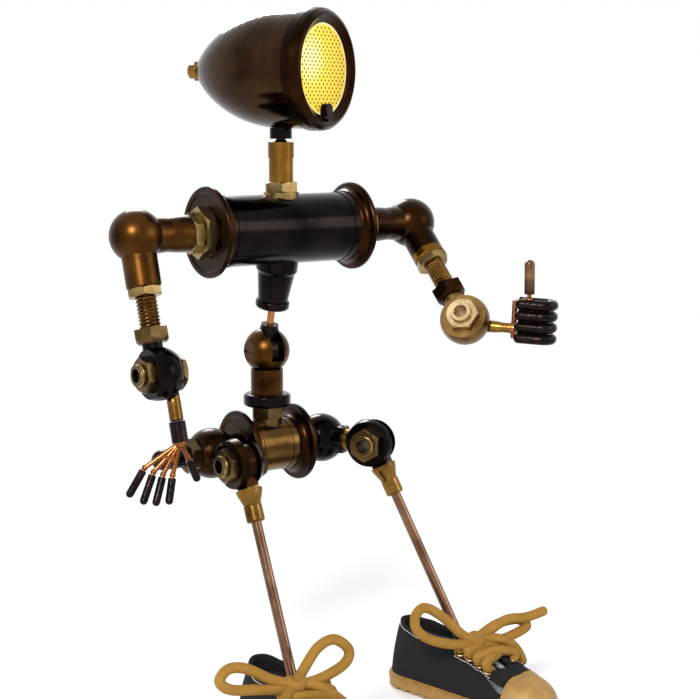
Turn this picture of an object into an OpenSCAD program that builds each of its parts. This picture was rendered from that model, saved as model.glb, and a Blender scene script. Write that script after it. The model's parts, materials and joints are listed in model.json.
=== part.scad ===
// Desk lamp in the shape of a small standing robot, built from pipe nipples,
// hex nuts, flanged spools and 25 mm knuckle swivels. The robot faces -Y,
// its right side is -X, and it stands on z = 0.

/* [Stance] */
// Height of the foot of the right leg rod above the table
foot_z = 16.4; // [15:0.2:18]
// Height of the waist swivel above the pelvis axis
waist_rise = 48.5; // [46:0.5:54]
// Height of the torso axis above the waist swivel
torso_rise = 61.5; // [58:0.5:68]
// How far the torso sits in front of the pelvis
torso_forward = 14; // [10:0.5:16]
// Height of the head axis above the torso axis
head_rise = 76.5; // [74:0.5:84]
// Turn of the head towards the robot's left, in degrees
head_yaw = 24.6; // [0:0.2:40]
// Forward swing of the right arm, in degrees
right_swing = 16.5; // [0:0.5:30]
// Forward swing of the left arm, in degrees
left_swing = 44; // [30:1:60]
// Turn of the left elbow about its arm, in degrees
left_twist = 45; // [30:1:50]
// Bend of the left elbow, in degrees
left_bend = 53; // [45:1:60]
// Outward turn of the left hip link, in degrees
left_hip_yaw = 30; // [20:1:34]
// Forward lean of the right leg, in degrees
right_lean = 23.8; // [20:0.2:26]
// Forward lean of the left leg, in degrees
left_lean = 26.5; // [22:0.5:28]

/* [Pipe fittings] */
// Outside diameter of the threaded nipples
nipple_d = 10; // [9:0.1:10.4]
// Bore of the threaded nipples
nipple_bore = 6.6; // [5:0.1:7]
// Diameter of a knuckle ball
ball_d = 25; // [24:0.1:25.4]
// Diameter of the waist ball
waist_ball_d = 23; // [22.4:0.1:24]
// Radial clearance where one piece turns on another
fit = 0.06; // [0.03:0.01:0.09]
// Side gap between the two parts of a knuckle
seam = 0.3; // [0.2:0.05:0.4]
// Width across the flats of an arm nut
arm_nut_af = 15; // [14:0.5:16]

/* [Torso] */
// Length of the torso spool
torso_len = 86; // [82:1:90]
// Diameter of the torso barrel
torso_d = 34; // [32:0.5:36]
// Diameter of the torso flanges
torso_flange_d = 43.5; // [42:0.5:46]
// Wall of the spool tubes
tube_wall = 1.4; // [1.2:0.1:1.8]
// Distance from the robot's middle to a shoulder ball
shoulder_x = 80; // [78:0.5:86]

/* [Pelvis] */
// Length of the pelvis spool
pelvis_len = 36; // [34:0.5:38]
// Diameter of the pelvis barrel
pelvis_d = 26; // [24:0.5:28]
// Diameter of the pelvis flanges
pelvis_flange_d = 38.6; // [36:0.5:40]
// Distance from the robot's middle to a hip elbow
hip_x = 33; // [32.5:0.1:34]
// Length of the link from a hip elbow to its swivel
hip_link = 29; // [28.5:0.5:32]

/* [Arms] */
// Distance from a shoulder ball to the elbow swivel
upper_arm = 64.2; // [62:0.2:68]
// Diameter of the gold forearm ferrule
ferrule_d = 6.4; // [6:0.1:6.6]
// Diameter of a finger sleeve
finger_d = 3.7; // [3.4:0.1:3.9]
// Diameter of the copper hand wires
wire_d = 2.2; // [1.8:0.1:2.4]
// Diameter of a finger of the fist
fist_d = 5.2; // [4.8:0.1:5.4]

/* [Legs] */
// Length from a hip swivel to the foot of the rod
leg_len = 122; // [120:0.5:124]
// Diameter of a leg rod
rod_d = 5; // [4.5:0.1:5.5]
// Diameter of a leg ferrule
leg_ferrule_d = 9; // [8.6:0.1:9.6]

/* [Head] */
// Diameter of the lamp shell
shell_d = 56; // [54:0.5:58]
// Diameter of the light opening
light_d = 43.5; // [42:0.5:45]
// Length of the shell behind the neck
tail_len = 46; // [44:0.5:48]
// Length of the shell in front of the neck
nose_len = 21; // [20:0.5:24]
// Wall of the lamp shell
shell_wall = 1.4; // [1.2:0.1:1.8]
// Spacing of the holes in the grille
grille_pitch = 3.5; // [3:0.1:5]
// Width of a diamond hole in the grille
grille_hole = 1.5; // [1:0.1:1.8]

/* [Shoes] */
// Length of a shoe
shoe_len = 98; // [95:0.5:101]
// How far the middle of a shoe sits behind the foot of its leg rod
shoe_back = 17; // [16:0.5:18]
// Width of a shoe at the ball of the foot
shoe_w = 36; // [34:0.5:38]
// Height of the rubber sole
sole_h = 7; // [6:0.5:8]
// Height of the shoe upper at the ankle
collar_h = 31; // [29:0.5:33]
// Thickness of the shoe lace
lace_d = 4.4; // [4:0.1:5]

/* [Hidden] */
$fn = 48;
right = -1;
left = 1;
nipple_r = nipple_d / 2;
bore_r = nipple_r + fit;
ball_r = ball_d / 2;
waist_ball_r = waist_ball_d / 2;
pelvis_z = foot_z + leg_len * cos(right_lean);
waist_z = pelvis_z + waist_rise;
torso_y = -torso_forward;
torso_z = waist_z + torso_rise;
head_z = torso_z + head_rise;
waist_tilt = atan2(torso_forward, torso_rise);
waist_reach = norm([torso_forward, torso_rise]);
torso_r = torso_d / 2;
flange_t = 2.5;
flare = 4.5;
pelvis_r = pelvis_d / 2;
shell_r = shell_d / 2;
big_nut_af = 22;
small_nut_af = 17;
nut_t = 5;
knuckle_nut_t = 4;
knuckle_back_t = 2.6;
spot_near = 5;
spot_far = 9.2;
waist_spot = 10.2;
tongue_w = 6.6;
tongue_mid = (spot_far - spot_near) / 2;
arm_seam = 2.5;
forearm_x = (arm_seam + spot_far) / 2;
shoulder_face = torso_len / 2 + 2 * nut_t;
neck_d = 16.4;
shoulder_drop = 24.4;
arm_thread = 15;
socket_top = shoulder_drop + knuckle_nut_t + arm_thread;
socket_h = 6.7;
leg_top = ball_r + 0.5;
weight_h = 18;
heel_share = 0.32;
hub_inset = 3.5;
cast_wall = 2.5;
waist_nut_z = pelvis_r + 1.4;
knob_len = 18;
knob_stub = 4.6;
washer_r = 7.4;
neck_pipe_r = 5.9;
collar_gap = 1.6;
cup_h = 7.6;
stud_r = 1.8;
stud_foot = 2.4;
boss_h = 4.8;
tilt_drop = 8.6;
tilt_ball_r = 4;
tail_r = 5;
straight_s = 2;
forearm_len = 22.5;
sleeve_len = 10;
// Knuckle and tip of each finger of the open hand: [side, depth, down].
finger_roots = [[-17.6, 0, -18.6], [-14, 0, -21.2], [-9.9, 0, -22.9], [-5.7, 0, -24]];
finger_tips = [[-27.2, 0.5, -30.6], [-21.2, -1, -35], [-15.6, -1.6, -36.6], [-9.6, -1, -37]];
thumb_root = [2.4, 4, -17];
thumb_tip = [5.2, 8, -28.6];
fist_pitch = 5.6;
curl_r = 5.2;
fist_start = -2.6;
fist_reach = -15.4;
fist_shift = -4.5;
thumb_foot = [0, fist_shift - 1.9 * fist_pitch - fist_d / 2, -8.4];
fist_thumb_tip = thumb_foot + [0, -17, 0.8];
// Middle of the lamp's outline seen from above, counted from the pelvis axis.
middle = [7.58, -47.12];

// ---------- shared shapes ----------

// Cylinder along +X from x0 to x1.
module bar_x(x0, x1, r, sides = 48) {
    translate([x0, 0, 0]) rotate([0, 90, 0]) cylinder(h = x1 - x0, r = r, $fn = sides);
}

// Places its child, drawn along +Z from the origin, on the line from p towards q.
module aim(p, q) {
    v = q - p;
    translate(p) rotate([0, acos(v.z / norm(v)), atan2(v.y, v.x)]) children();
}

// Plain round bar between two points.
module bar(p, q, r) {
    aim(p, q) cylinder(h = norm(q - p), r = r);
}

// Half profile of a bar along Z whose far end is domed.
function domed(len, r, steps = 6) = concat([[0, 0], [r, 0]],
    [for (i = [0 : steps]) let (a = 90 * i / steps) [r * cos(a), len - r + r * sin(a)]]);

// Round bar between two points with a domed far end.
module domed_bar(p, q, r) {
    aim(p, q) rotate_extrude() polygon(domed(norm(q - p), r));
}

// Hex nut standing on z = 0, with chamfered corners and a plain bore.
module hex_nut(af, h, hole_r) {
    ac = af / cos(30) / 2;
    difference() {
        intersection() {
            cylinder(h = h, r = ac, $fn = 6);
            rotate_extrude() polygon([[0, 0], [af / 2, 0], [ac, (ac - af / 2) * 0.6],
                [ac, h - (ac - af / 2) * 0.6], [af / 2, h], [0, h]]);
        }
        translate([0, 0, -1]) cylinder(h = h + 2, r = hole_r);
    }
}

// Hollow nipple along +X; its thread is left plain here.
module nipple_x(x0, x1, r = nipple_r, hole_r = nipple_bore / 2) {
    difference() {
        bar_x(x0, x1, r);
        bar_x(x0 - 1, x1 + 1, hole_r);
    }
}

// Body of a knuckle: a ball with a flat for the nut at each side and a bore along X.
module knuckle_blank(r, near = spot_near, far = spot_far) {
    difference() {
        intersection() {
            sphere(r = r);
            translate([-near, -r, -r]) cube([near + far, 2 * r, 2 * r]);
        }
        bar_x(-r, r, bore_r);
    }
}

// Central slot of a forked knuckle; the fork stays whole behind the hub on +Z.
module knuckle_slot(r, width, mid) {
    translate([mid, 0, 0]) difference() {
        translate([-width / 2, -r - 1, -r - 1]) cube([width, 2 * r + 2, 2 * r + 2]);
        difference() {
            translate([-width, -r - 2, r * 0.4]) cube([2 * width, 2 * r + 4, r]);
            bar_x(-width, width, r - hub_inset + seam);
        }
    }
}

// Fork of a knuckle with its neck on +Z.
module fork(r, neck_r, neck_len, near = spot_near, far = spot_far) {
    mid = (far - near) / 2;
    difference() {
        union() {
            knuckle_blank(r, near, far);
            translate([mid, 0, r - 2.2]) cylinder(h = neck_len - r + 2.2, r = neck_r);
        }
        knuckle_slot(r, tongue_w + 2 * seam, mid);
    }
}

// Tongue of a knuckle: a hub between the cheeks and a tab running down -Z.
module tongue_hub(r, tab_w, mid = tongue_mid) {
    difference() {
        union() {
            bar_x(mid - tongue_w / 2, mid + tongue_w / 2, r - hub_inset);
            translate([mid - tongue_w / 2, -tab_w / 2, -r - 0.6])
                cube([tongue_w, tab_w, r + 0.6]);
        }
        bar_x(-r, r, bore_r);
    }
}

// Hollow pin of a knuckle with its two hex nuts; the nuts bear on the flats.
module knuckle_pin(back = spot_far, af = 15) {
    nipple_x(-spot_near - knuckle_nut_t - 2.4, back + knuckle_back_t + 0.6);
    translate([-spot_near, 0, 0]) rotate([0, -90, 0]) hex_nut(af, knuckle_nut_t, nipple_r);
    translate([back, 0, 0]) rotate([0, 90, 0]) hex_nut(af, knuckle_back_t, nipple_r);
}

// Flanged end cap of a spool, its outer face at x = 0 and the spool on -X.
module end_cap(barrel_r, rim_r) {
    difference() {
        rotate([0, 90, 0]) rotate_extrude() difference() {
            polygon([[0, -flange_t - flare - 4], [barrel_r - tube_wall - fit, -flange_t - flare - 4],
                [barrel_r - tube_wall - fit, -flange_t - flare], [barrel_r, -flange_t - flare],
                [barrel_r, -flange_t - flare + 0.6], [rim_r - 0.6, -flange_t], [rim_r, -flange_t + 0.6],
                [rim_r, -0.6], [rim_r - 0.6, 0], [rim_r - 2.6, 0], [rim_r - 3.4, -0.7],
                [nipple_r + 6.4, -0.7], [nipple_r + 5.6, 0], [0, 0]]);
            translate([barrel_r + flare, -flange_t - flare + 0.6]) circle(r = flare - 0.6, $fn = 40);
        }
        bar_x(-flange_t - flare - 6, -flange_t, barrel_r - tube_wall - cast_wall);
        bar_x(-flange_t - 1, 2, nipple_r);
    }
}

// Barrel of a spool along X with a cross bore of the given radius above and below.
module barrel(len, r, top_r, bottom_r, bottom_tilt) {
    half = len / 2 - flange_t - flare;
    difference() {
        union() {
            bar_x(-half, half, r);
            for (s = [-1, 1]) translate([s * (half - 2.4), 0, 0]) bar_x(-0.9, 0.9, r + 0.35);
        }
        bar_x(-half - 1, half + 1, r - tube_wall);
        cylinder(h = r + 2, r = top_r);
        rotate([bottom_tilt, 0, 0]) mirror([0, 0, 1]) cylinder(h = r + 2, r = bottom_r);
    }
}

// ---------- places ----------

// The origin is on the table at the middle of the lamp's outline seen from above,
// so every place is counted from there.
module from_middle(x, y, z) { translate([x - middle.x, y - middle.y, z]) children(); }

module at_pelvis() { from_middle(0, 0, pelvis_z) children(); }
module at_waist() { from_middle(0, 0, waist_z) children(); }
module at_torso() { from_middle(0, torso_y, torso_z) children(); }
module at_head() { from_middle(0, torso_y, head_z) rotate([0, 0, head_yaw]) children(); }

// Frame of one arm: origin at the shoulder ball, the arm along -Z.
module at_arm(side) {
    swing = side == right ? right_swing : left_swing;
    from_middle(side * shoulder_x, torso_y, torso_z) rotate([-swing, 0, 0]) children();
}

// Frame of one elbow: the hinge along X, its nut on -X, the upper arm on +Z.
module at_elbow(side) {
    at_arm(side) translate([0, 0, -upper_arm])
        rotate([0, 0, side == left ? left_twist : 0]) children();
}

module at_forearm(side) {
    at_elbow(side) rotate([side == left ? -left_bend : 0, 0, 0]) children();
}

// Frame of one hip swivel: the hinge along X, the link on +Y.
module at_hip(side) {
    from_middle(side * hip_x, 0, pelvis_z) rotate([0, 0, side == left ? left_hip_yaw : 0])
        translate([-tongue_mid, -hip_link, 0]) children();
}

module at_leg(side) {
    at_hip(side) rotate([side == left ? -left_lean : -right_lean, 0, 0]) children();
}

// Frame of one shoe: origin on the table in the middle of its ankle, toe towards -Y.
module at_shoe(side) {
    yaw = side == left ? left_hip_yaw : 0;
    lean = side == left ? left_lean : right_lean;
    out = side == left ? 12 : -5;
    from_middle(side * hip_x, 0, 0) rotate([0, 0, yaw])
        translate([0, -hip_link - leg_len * sin(lean), 0]) rotate([0, 0, out - yaw])
            translate([0, shoe_back, 0]) children();
}

// ---------- pelvis ----------

module pelvis_barrel() {
    color("peru") at_pelvis() barrel(pelvis_len, pelvis_r, bore_r, 0.01, 0);
}

module pelvis_flanges() {
    color("saddlebrown") at_pelvis() for (s = [0, 1]) mirror([s, 0, 0])
        translate([pelvis_len / 2, 0, 0]) end_cap(pelvis_r, pelvis_flange_d / 2);
}

module pelvis_axle() {
    color("goldenrod") at_pelvis() nipple_x(-hip_x - ball_r - 2.4, hip_x + ball_r - 5);
}

// Hex nut that holds the right hip on the axle, waist nut and its saddle washer.
module pelvis_nuts() {
    color("tan") at_pelvis() {
        translate([-hip_x - spot_far, 0, 0]) rotate([0, -90, 0])
            hex_nut(arm_nut_af, nut_t + 0.5, nipple_r);
        difference() {
            cylinder(h = waist_nut_z, r = washer_r);
            cylinder(h = waist_nut_z + 1, r = nipple_r);
            bar_x(-12, 12, pelvis_r);
        }
        translate([0, 0, waist_nut_z]) hex_nut(small_nut_af - 2.4, 6, nipple_r);
    }
}
module waist_collar() {
    color("black") at_pelvis() translate([0, 0, waist_nut_z + 6]) difference() {
        rotate_extrude() hull() {
            translate([1, 0]) square([8, 6.4]);
            for (z = [1.8, 4.6]) translate([10.1, z]) circle(r = 1.8, $fn = 32);
        }
        translate([0, 0, -1]) cylinder(h = 9, r = nipple_r);
    }
}

module waist_fork() {
    color("sienna") {
        at_waist() rotate([180, 0, 0])
            fork(waist_ball_r, 8.1, waist_rise - waist_nut_z - 12.4, waist_spot, waist_spot);
        at_pelvis() difference() {
            translate([0, 0, pelvis_r - tube_wall - 2])
                cylinder(h = 14 + tube_wall + 2, r = nipple_r);
            cylinder(h = 22, r = nipple_bore / 2);
        }
    }
}

// Pin of the waist swivel, flush with the ball, with a slot in each end.
module waist_pin() {
    color("peru") at_waist() difference() {
        bar_x(-waist_spot, waist_spot, nipple_r);
        for (s = [-1, 1]) translate([s * waist_spot - 0.8, -7, -0.6]) cube([1.6, 14, 1.2]);
    }
}

// Rotary dimmer knob with a domed end and a fluted skirt.
module dimmer_knob() {
    color("black") at_pelvis() translate([-hip_x - spot_far - nut_t - 0.8, 0, 0]) mirror([1, 0, 0]) {
        difference() {
            rotate([0, 90, 0]) rotate_extrude() polygon(concat(
                [[0, -knob_stub], [nipple_bore / 2 - fit, -knob_stub], [nipple_bore / 2 - fit, 0]],
                [for (p = domed(knob_len, nipple_r)) if (p.x > 0 || p.y > 0) p]));
            for (a = [0 : 30 : 330]) rotate([a, 0, 0]) translate([0, 0, nipple_r + 0.3])
                bar_x(-1, 10.5, 0.6);
        }
    }
}

// ---------- legs ----------

module hip_elbow(side) {
    color("black") from_middle(side * hip_x, 0, pelvis_z) difference() {
        union() {
            sphere(r = ball_r);
            mirror([side == left ? 1 : 0, 0, 0])
                bar_x(ball_r - 4, hip_x - pelvis_len / 2, 8);
            rotate([0, 0, side == left ? left_hip_yaw : 0]) rotate([90, 0, 0]) {
                cylinder(h = ball_r, r = 7);
                translate([0, 0, ball_r - 2.5]) cylinder(h = 4, r = 7.6, $fn = 6);
            }
        }
        if (side == right) bar_x(-ball_r - 1, ball_r + 8, bore_r);
        if (side == left) bar_x(-ball_r - 8, ball_r - 4.4, bore_r);
        if (side == right) translate([-spot_far - 10, -10, -10]) cube([10, 20, 20]);
        rotate([0, 0, side == left ? left_hip_yaw : 0]) rotate([90, 0, 0])
            translate([0, 0, 8]) cylinder(h = 10, r = 5.76);
    }
}

module hip_fork(side) {
    color("goldenrod") at_hip(side) rotate([-90, 0, 0]) fork(ball_r, 5.7, hip_link - 8.3);
}

module hip_pin(side) {
    color("tan") at_hip(side) knuckle_pin();
}

// Tongue of the leg: tab, flared skirt and ferrule that grips the rod.
module leg_tongue(side) {
    color("goldenrod") at_leg(side) difference() {
        union() {
            tongue_hub(ball_r, 9);
            translate([tongue_mid, 0, -leg_top]) mirror([0, 0, 1]) rotate_extrude()
                polygon([[0, 0], [6.6, 0], [6.2, 2], [leg_ferrule_d / 2 - 0.3, 7.4], [leg_ferrule_d / 2, 8],
                    [leg_ferrule_d / 2, 15], [leg_ferrule_d / 2 - 0.6, 15.8], [0, 15.8]]);
        }
        translate([tongue_mid, 0, -leg_top - 16.8]) cylinder(h = 13, r = rod_d / 2);
    }
}

module leg_rod(side) {
    color("rosybrown") at_leg(side) translate([tongue_mid, 0, -leg_len])
        cylinder(h = leg_len - leg_top - 3.8, r = rod_d / 2);
}

// Outline of the shoe seen from above, grown by the given amount.
module shoe_plan(grow = 0) {
    heel_r = shoe_w * 0.4;
    ball_r2 = shoe_w * 0.5;
    toe_r = shoe_w * 0.42;
    heel_y = shoe_len * heel_share - heel_r;
    toe_y = -shoe_len * (1 - heel_share) + toe_r;
    hull() {
        translate([0, heel_y]) circle(r = heel_r + grow, $fn = 40);
        translate([1, toe_y + toe_r * 0.62]) circle(r = ball_r2 + grow, $fn = 40);
        translate([0.4, toe_y]) circle(r = toe_r + grow, $fn = 40);
    }
}

// Side profile of the upper: a low vamp rising to the ankle collar.
module shoe_side(h_drop = 0) {
    back_y = shoe_len * heel_share;
    toe_y = shoe_len * (heel_share - 1);
    rotate([90, 0, 90]) linear_extrude(height = shoe_w + 4, center = true)
        polygon([[back_y + 2, 0], [back_y + 2, collar_h - 4 - h_drop], [back_y - 3, collar_h + 1 - h_drop],
            [back_y - 12, collar_h - 1.6 - h_drop], [-6, collar_h - 3 - h_drop], [-16, collar_h - 2 - h_drop],
            [-33, collar_h - 8.5 - h_drop], [-44, collar_h - 12.5 - h_drop],
            [toe_y + 9, collar_h - 15 - h_drop], [toe_y + 1, collar_h - 20 - h_drop], [toe_y - 3, 0]]);
}

module shoe_body(grow, h_drop) {
    intersection() {
        hull() {
            linear_extrude(height = 12) shoe_plan(grow);
            translate([0, 0, collar_h - 12]) linear_extrude(height = 1) shoe_plan(grow - 2.4);
            translate([0, 1, collar_h + 1]) linear_extrude(height = 1)
                intersection() { shoe_plan(grow - 6); translate([-30, -60]) square([60, 100]); }
        }
        shoe_side(h_drop);
    }
}

// Canvas upper: an open shell with the ankle opening and the lace gap down the vamp.
module shoe_upper(side) {
    color("dimgray") at_shoe(side) difference() {
        intersection() {
            shoe_body(0, 0);
            translate([-30, -80, sole_h]) cube([60, 120, 60]);
        }
        shoe_body(-1.6, 1.8);
        hull() {
            translate([0, shoe_len * heel_share - 16, sole_h + 6]) cylinder(h = 40, r = 9.5, $fn = 32);
            translate([0, -10, sole_h + 6]) cylinder(h = 40, r = 7.5, $fn = 32);
        }
        hull() {
            translate([0, -10, sole_h + 6]) cylinder(h = 40, r = 7, $fn = 32);
            translate([0, -38, sole_h + 4]) cylinder(h = 40, r = 4, $fn = 32);
        }
    }
}

// Rubber sole with its foxing band and the toe cap that grows out of it.
module shoe_sole(side) {
    color("burlywood") at_shoe(side) {
        difference() {
            union() {
                linear_extrude(height = sole_h - 0.8) shoe_plan(0.9);
                linear_extrude(height = sole_h) shoe_plan(0.1);
                translate([0, 0, sole_h - 2.6]) linear_extrude(height = 1) shoe_plan(1.3);
            }
            for (y = [-56 : 6 : 16]) translate([-25, y, -0.4]) cube([50, 2.4, 1.2]);
            translate([0, 0, 2.4]) linear_extrude(height = sole_h) shoe_plan(-3);
        }
    }
}

module shoe_tongue(side) {
    color("gray") at_shoe(side) intersection() {
        rotate([90, 0, 90]) linear_extrude(height = 13, center = true)
            polygon([[-17.6, collar_h - 3.7], [-33, collar_h - 10.6], [-36, collar_h - 12.6],
                [-36, collar_h - 14.4], [-33, collar_h - 13], [-17.6, collar_h - 6.1]]);
        hull() {
            translate([0, -10, 0]) cylinder(h = 60, r = 6.4, $fn = 32);
            translate([0, -36, 0]) cylinder(h = 60, r = 3.2, $fn = 32);
        }
    }
}

// Crossed lacing, the knot, the two loops of the bow and its loose ends.
module shoe_laces(side) {
    r = lace_d / 2;
    knot = [0, -21.5, collar_h + 4.6];
    loop_r = 9;
    color("darkgoldenrod") at_shoe(side) union() {
        for (i = [0 : 3]) for (s = [-1, 1]) {
            w = 9.4 - 0.9 * i;
            z = collar_h + 1.4 - 2.3 * i;
            bar([s * w, -17 - 6 * i, z - 1], [-s * w, -20 - 6 * i, z - 1.4 + 0.9 * s], r);
        }
        translate(knot) sphere(r = 4.8);
        for (s = [-1, 1]) {
            translate(knot + [s * (loop_r + 3.2), -1, -0.8]) rotate([6, s * 14, 0]) rotate_extrude()
                translate([loop_r, 0]) circle(r = r, $fn = 24);
            domed_bar(knot, knot + [s * 17, -9, -7], r);
        }
    }
}

// Steel weight that fills the shoe under the tongue and takes the foot of the leg rod.
module shoe_weight(side) {
    yaw = side == left ? left_hip_yaw : 0;
    lean = side == left ? left_lean : right_lean;
    color("darkgray") difference() {
        at_shoe(side) difference() {
            union() {
                intersection() {
                    shoe_body(-1.9, 2.1);
                    translate([-30, -60, sole_h]) cube([60, 100, weight_h]);
                }
                translate([0, 0, 2.4]) linear_extrude(height = sole_h - 2.4) shoe_plan(-3.2);
            }
            rotate([90, 0, 90]) linear_extrude(height = 16, center = true)
                polygon([[-11, 50], [-11, collar_h - 3.9], [-16.4, collar_h - 6], [-33.2, collar_h - 13.4],
                    [-42, collar_h - 17.3], [-42, 50]]);
        }
        at_leg(side) translate([tongue_mid, 0, -leg_len]) cylinder(h = leg_len / 2, r = rod_d / 2);
    }
}

// ---------- torso ----------

module torso_barrel() {
    color("black") at_torso() barrel(torso_len, torso_r, neck_pipe_r + fit, bore_r, waist_tilt);
}

module torso_flanges() {
    color("sienna") at_torso() for (s = [0, 1]) mirror([s, 0, 0])
        translate([torso_len / 2, 0, 0]) end_cap(torso_r, torso_flange_d / 2);
}

module torso_axle() {
    color("goldenrod") at_torso() nipple_x(-shoulder_face - 12, shoulder_face + 12);
}

// Shoulder nuts in two sizes at each end, neck nut and its saddle washer.
module torso_nuts() {
    color("tan") at_torso() {
        for (s = [0, 1]) mirror([s, 0, 0]) translate([torso_len / 2, 0, 0]) rotate([0, 90, 0]) {
            hex_nut(big_nut_af, nut_t, nipple_r);
            translate([0, 0, nut_t]) hex_nut(small_nut_af, nut_t, nipple_r);
        }
        difference() {
            cylinder(h = torso_r + 1, r = 8.6);
            cylinder(h = torso_r + 2, r = neck_pipe_r);
            bar_x(-12, 12, torso_r);
        }
        translate([0, 0, torso_r + 1]) hex_nut(small_nut_af - 2, 5, neck_pipe_r);
    }
}

// Pipe that carries the head, open at its foot inside the torso.
module neck_pipe() {
    foot = torso_r - tube_wall - 2;
    top = head_rise - shell_r - boss_h - collar_gap - cup_h;
    color("chocolate") at_torso() difference() {
        translate([0, 0, foot]) cylinder(h = top - foot, r = neck_pipe_r);
        translate([0, 0, foot - 1]) cylinder(h = top - foot + 2, r = neck_pipe_r - 1.5);
    }
}

// Tapered fitting under the torso with its collar disc.
module waist_fitting() {
    color("black") at_torso() rotate([waist_tilt, 0, 0]) mirror([0, 0, 1]) difference() {
        union() {
            difference() {
                rotate_extrude() polygon([[0, 12], [10.3, 12], [10.3, torso_r + 3.4], [9.2, torso_r + 5],
                    [7.4, 36], [8, 36.4], [8.4, 37], [8.4, 39.4], [7.8, 40.2], [0, 40.2]]);
                bar_x(-20, 20, torso_r);
            }
            translate([0, 0, torso_r - tube_wall - 2]) cylinder(h = 8, r = nipple_r);
        }
        cylinder(h = 60, r = stud_r);
    }
}

// Upper part of the waist swivel: hub, tab and the foot of the stud.
module waist_tongue() {
    color("black") at_waist() rotate([180 + waist_tilt, 0, 0]) union() {
        tongue_hub(waist_ball_r, 7, 0);
        translate([0, 0, -waist_ball_r - stud_foot]) cylinder(h = stud_foot - seam, r = 4.4);
    }
}

// Thin copper stud that joins the waist swivel to the fitting above it.
module waist_stud() {
    color("chocolate") at_waist() rotate([180 + waist_tilt, 0, 0])
        translate([0, 0, -waist_reach + torso_r + 3])
            cylinder(h = waist_reach - torso_r - 3 - waist_ball_r - stud_foot, r = stud_r);
}

// ---------- arms ----------

// Shoulder: a ball with a waisted neck to the torso and one down to the arm.
module shoulder_ball(side) {
    color("sienna") at_arm(side) difference() {
        union() {
            sphere(r = ball_r);
            mirror([side == left ? 1 : 0, 0, 0]) rotate([0, 90, 0]) rotate_extrude()
                polygon([[0, 0], [9, 0], [8.4, 12], [8.1, 16], [8.5, 20], [8.7, 24],
                    [8.7, shoulder_x - shoulder_face - 0.5], [8.2, shoulder_x - shoulder_face],
                    [0, shoulder_x - shoulder_face]]);
            mirror([0, 0, 1]) rotate_extrude() polygon([[0, 0], [neck_d / 2 + 0.4, 0], [neck_d / 2, 12],
                [neck_d / 2, shoulder_drop - 0.8], [neck_d / 2 - 0.8, shoulder_drop], [0, shoulder_drop]]);
        }
        translate([-side * (shoulder_x - shoulder_face + 0.01), 0, 0])
            bar_x(side == right ? -12.6 : -1, side == right ? 1 : 12.6, bore_r);
        translate([0, 0, -shoulder_drop - 1]) cylinder(h = 11, r = nipple_r);
        sphere(r = ball_r - cast_wall);
        translate([0, 0, -shoulder_drop]) cylinder(h = shoulder_drop, r = nipple_bore / 2);
        mirror([side == left ? 1 : 0, 0, 0]) bar_x(0, shoulder_x - shoulder_face - 8, nipple_bore / 2);
    }
}

module arm_nipple(side) {
    color("goldenrod") at_arm(side) translate([0, 0, -socket_top - socket_h + 1.2]) difference() {
        cylinder(h = socket_h - 1.2 + arm_thread + knuckle_nut_t + 9.6, r = nipple_r);
        translate([0, 0, -1]) cylinder(h = 60, r = nipple_bore / 2);
    }
}

module arm_nut(side) {
    color("tan") at_arm(side) translate([0, 0, -shoulder_drop - knuckle_nut_t])
        hex_nut(arm_nut_af, knuckle_nut_t, nipple_r);
}

// Upper part of the elbow: flared hex socket, neck and the larger half of the ball.
module elbow_fork(side) {
    socket_z = upper_arm - socket_top - socket_h;
    color("black") at_elbow(side) difference() {
        union() {
            knuckle_blank(ball_r);
            translate([0, 0, ball_r - 1.6]) cylinder(h = socket_z - ball_r + 2.6, r = 5.2);
            translate([0, 0, socket_z]) intersection() {
                cylinder(h = socket_h, r = arm_nut_af / cos(30) / 2, $fn = 6);
                rotate_extrude() polygon([[0, 0], [6.6, 0], [9.2, 3.4], [9.2, socket_h], [0, socket_h]]);
            }
        }
        translate([arm_seam - seam, -20, -20]) cube([20, 40, 20 + socket_z]);
        translate([0, 0, socket_z + 1]) cylinder(h = 20, r = bore_r);
    }
}

module elbow_pin(side) {
    color("tan") at_elbow(side) knuckle_pin();
}

// Half profile of a ball about its own axis between two flats, bored through.
function cut_ball(r, x0, x1, hole_r, steps = 9) = concat([[hole_r, x0]],
    [for (i = [0 : steps]) let (a = asin(x0 / r) + (asin(x1 / r) - asin(x0 / r)) * i / steps)
        [r * cos(a), r * sin(a)]], [[hole_r, x1]]);

// Lower half of the elbow ball, cut flat at the seam, with the forearm under it:
// a slim gold ferrule on the right, a trumpet and rod on the left.
module elbow_tongue(side) {
    neck_r = forearm_x - arm_seam - 0.3;
    slim = [[0, 8], [neck_r, 8], [neck_r, 12.4], [ferrule_d / 2, 13.6],
        [ferrule_d / 2, forearm_len - 0.5], [ferrule_d / 2 - 0.5, forearm_len], [0, forearm_len]];
    trumpet = [[0, 8], [neck_r, 8], [neck_r, 11.6], [2.9, 15], [2.5, 18], [2.5, forearm_len],
        [0, forearm_len]];
    color("goldenrod") at_forearm(side) union() {
        rotate([0, 90, 0]) rotate_extrude() polygon(cut_ball(ball_r, arm_seam, spot_far, bore_r));
        translate([forearm_x, 0, 0]) mirror([0, 0, 1]) rotate_extrude()
            polygon(side == right ? slim : trumpet);
    }
}

// Frame of one hand at the end of its forearm.
module at_hand(side) {
    at_forearm(side) translate([forearm_x, 0, -forearm_len]) rotate([0, 0, -29.3]) children();
}

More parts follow.
